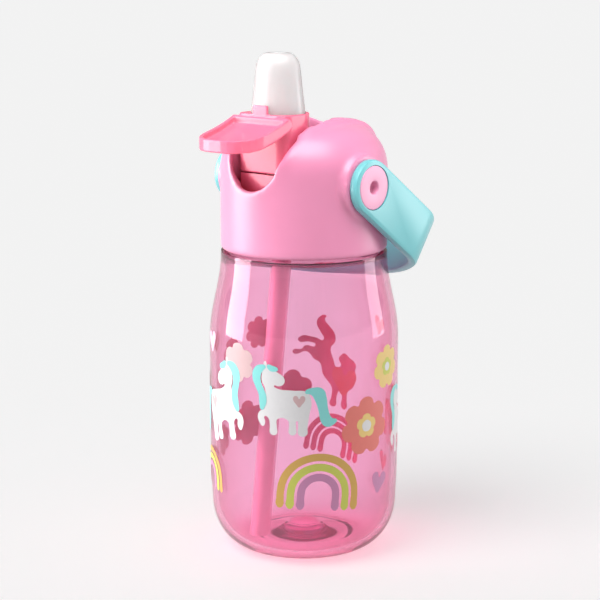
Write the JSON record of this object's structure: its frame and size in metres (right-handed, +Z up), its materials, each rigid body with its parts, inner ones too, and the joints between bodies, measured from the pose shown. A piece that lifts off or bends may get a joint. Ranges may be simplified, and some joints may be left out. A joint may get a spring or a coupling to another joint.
{
  "type": "kids water bottle",
  "caption": "Clear pink kids water bottle: screw lid with a flip-up silicone spout and finger tab, a straw inside, and a turquoise carry handle that swings.",
  "frame": {"origin": "centre of the foot on the jar's axis, at the height that the bottle stands on", "axes": "+Z up along the jar's axis, -Y towards the drinker and the finger tab, X along the handle's pivots"},
  "size_m": [0.0754, 0.1002, 0.195],
  "materials": {
    "clear_pink_jar": "clear tinted copolyester, glossy",
    "pink_lid": "soft satin moulded polypropylene",
    "pink_button": "satin moulded plastic",
    "clear_red": "translucent tinted plastic, glossy",
    "spout_silicone": "milky translucent silicone",
    "clear_silicone": "natural silicone",
    "clear_straw": "clear tinted tube",
    "white_polypropylene": "natural polypropylene",
    "steel_pin": "ground stainless pin",
    "turquoise_handle": "soft satin moulded plastic"
  },
  "bodies": {
    "jar": {"bottle_jar": "clear_pink_jar"},
    "gasket": {"lid_gasket": "clear_silicone"},
    "lid": {"lid_shell": "pink_lid", "lid_collar": "white_polypropylene", "spout_cradle": "clear_red", "port_seal": "clear_silicone", "vent_valve": "clear_silicone", "straw": "clear_straw", "hinge_pin_left": "steel_pin", "hinge_pin_right": "steel_pin", "handle_washer_left": "white_polypropylene", "handle_washer_right": "white_polypropylene", "handle_button_left": "pink_button", "handle_button_right": "pink_button"},
    "spout": {"flip_carrier": "clear_red", "rotary_core": "white_polypropylene", "drinking_spout": "spout_silicone"},
    "handle": {"carry_handle": "turquoise_handle"}
  },
  "joints": [
    {"name": "lid_lift", "type": "slide", "parent": "jar", "child": "gasket", "axis": [0, 0, 1], "range_m": [0, 0.00901]},
    {"name": "lid_turn", "type": "hinge", "parent": "gasket", "child": "lid", "pos_m": [0, 0, 0.137], "axis": [0, 0, 1], "range_deg": [0, 540]},
    {"name": "spout_flip", "type": "hinge", "parent": "lid", "child": "spout", "pos_m": [0, -0.0152, 0.1595], "axis": [-1, 0, 0], "range_deg": [0, 90]},
    {"name": "handle_swing", "type": "hinge", "parent": "lid", "child": "handle", "pos_m": [0, -0.0022, 0.1457], "axis": [1, 0, 0], "range_deg": [0, 126]}
  ],
  "couplings": [
    {"joint": "lid_lift", "follows": "lid_turn", "m_per_rad": 0.00095493}
  ]
}
